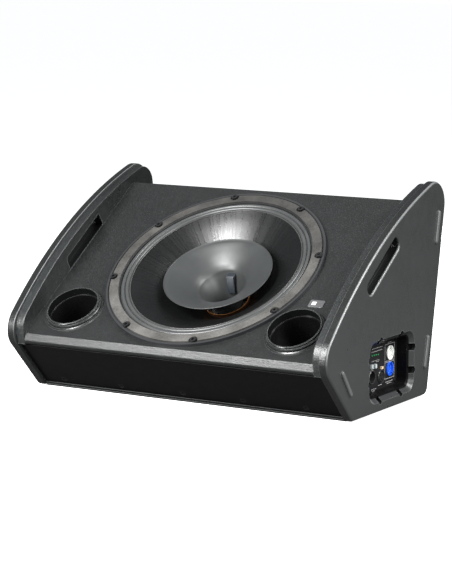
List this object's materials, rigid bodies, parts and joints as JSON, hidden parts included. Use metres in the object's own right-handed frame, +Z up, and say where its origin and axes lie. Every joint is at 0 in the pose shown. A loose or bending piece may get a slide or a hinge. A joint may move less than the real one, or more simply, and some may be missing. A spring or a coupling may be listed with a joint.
{
  "type": "stage monitor wedge",
  "caption": "Wedge floor monitor loudspeaker: leaning baffle with a coaxial horn driver, round reflex ports, side cheeks with handle slots and a recessed connector bay.",
  "frame": {"origin": "middle of the bounding box on the plane that the rubber feet stand on", "axes": "+X across the box towards the connector side, -Y towards the low front edge, +Z up"},
  "size_m": [0.626, 0.4246, 0.3652],
  "materials": {
    "cheek_paint": "satin textured charcoal paint over birch plywood",
    "baffle_paint": "textured dark paint over birch plywood",
    "panel_paint": "smooth satin dark paint over plywood",
    "raw_ply": "bare birch plywood",
    "foam": "open-cell damping foam",
    "foot_rubber": "matte",
    "pad_rubber": "satin",
    "badge": "blank dark anodised plate",
    "collar_paint": "textured paint",
    "port_plastic": "matte moulded",
    "frame_casting": "black coated casting",
    "gasket": "grey-brown compressed fibre",
    "bolt_steel": "black oxide",
    "surround_cloth": "doped cloth",
    "cone_paper": "coated paper, fine tooth",
    "former_film": "amber film",
    "coil_wire": "enamelled copper wire",
    "spider_cloth": "resin-treated cloth",
    "magnet_steel": "zinc plated",
    "ferrite": "matte ferrite",
    "horn_satin": "smooth satin grey",
    "diaphragm_foil": "thin foil",
    "panel_steel": "powder-coated steel",
    "outlet_grey": "light grey moulding",
    "inlet_blue": "blue moulding",
    "xlr_metal": "black plated shell",
    "latch_cream": "cream moulding",
    "button_white": "pale moulding",
    "led_green": "green tinted lens",
    "board_green": "solder resist",
    "cover_steel": "zinc plated sheet",
    "heatsink_alu": "black anodised",
    "transformer_tape": "taped winding",
    "capacitor_sleeve": "dark sleeve",
    "cable_jacket": "matte jacket"
  },
  "bodies": {
    "cabinet": {"acoustic_foam": "foam", "amp_board": "board_green", "amp_cover": "cover_steel", "badge_plate": "badge", "baffle_board": "baffle_paint", "bottom_board": "baffle_paint", "cable_grommets": "pad_rubber", "capacitors": "capacitor_sleeve", "cheek_inner_left": "cheek_paint", "cheek_inner_right": "cheek_paint", "cheek_outer_left": "cheek_paint", "cheek_outer_right": "cheek_paint", "connector_panel": "panel_steel", "control_board": "board_green", "driver_bolts": "bolt_steel", "driver_frame": "frame_casting", "driver_terminal": "port_plastic", "front_cleat": "raw_ply", "front_gasket": "gasket", "heatsink": "heatsink_alu", "hf_driver_body": "frame_casting", "hf_rear_cap": "frame_casting", "horn": "horn_satin", "horn_cable": "cable_jacket", "lower_front_panel": "panel_paint", "lower_panel_screws": "bolt_steel", "magnet_ring": "ferrite", "panel_screws": "bolt_steel", "pole_piece": "magnet_steel", "port_collar_left": "collar_paint", "port_collar_right": "collar_paint", "port_tube_left": "port_plastic", "port_tube_right": "port_plastic", "power_inlet": "inlet_blue", "power_outlet": "outlet_grey", "rear_board": "baffle_paint", "rubber_feet": "foot_rubber", "side_pads_left": "pad_rubber", "side_pads_right": "pad_rubber", "status_leds": "led_green", "top_plate": "magnet_steel", "top_rear_board": "baffle_paint", "transformer": "transformer_tape", "woofer_cable": "cable_jacket", "xlr_input": "xlr_metal", "xlr_link": "xlr_metal"},
    "cone_assembly": {"cone": "cone_paper", "voice_coil_former": "former_film", "voice_coil": "coil_wire", "surround": "surround_cloth", "spider": "spider_cloth"},
    "hf_dome": {"hf_diaphragm": "diaphragm_foil"},
    "button_a": {"push_button_a": "button_white"},
    "button_b": {"push_button_b": "button_white"},
    "input_latch": {"xlr_latch": "latch_cream"}
  },
  "joints": [
    {"name": "cone_travel", "type": "slide", "parent": "cabinet", "child": "cone_assembly", "axis": [0, -0.5631, 0.8264], "range_m": [-0.006, 0.006], "stiffness_N_per_m": 7500, "deforming": ["surround", "spider"]},
    {"name": "hf_dome_travel", "type": "slide", "parent": "cabinet", "child": "hf_dome", "axis": [0, -0.5631, 0.8264], "range_m": [-0.0003, 0.0003], "stiffness_N_per_m": 4000},
    {"name": "button_a_press", "type": "slide", "parent": "cabinet", "child": "button_a", "axis": [-1, 0, 0], "range_m": [0, 0.0012], "stiffness_N_per_m": 600},
    {"name": "button_b_press", "type": "slide", "parent": "cabinet", "child": "button_b", "axis": [-1, 0, 0], "range_m": [0, 0.0012], "stiffness_N_per_m": 600},
    {"name": "input_latch_press", "type": "slide", "parent": "cabinet", "child": "input_latch", "axis": [-1, 0, 0], "range_m": [0, 0.0015], "stiffness_N_per_m": 600}
  ]
}
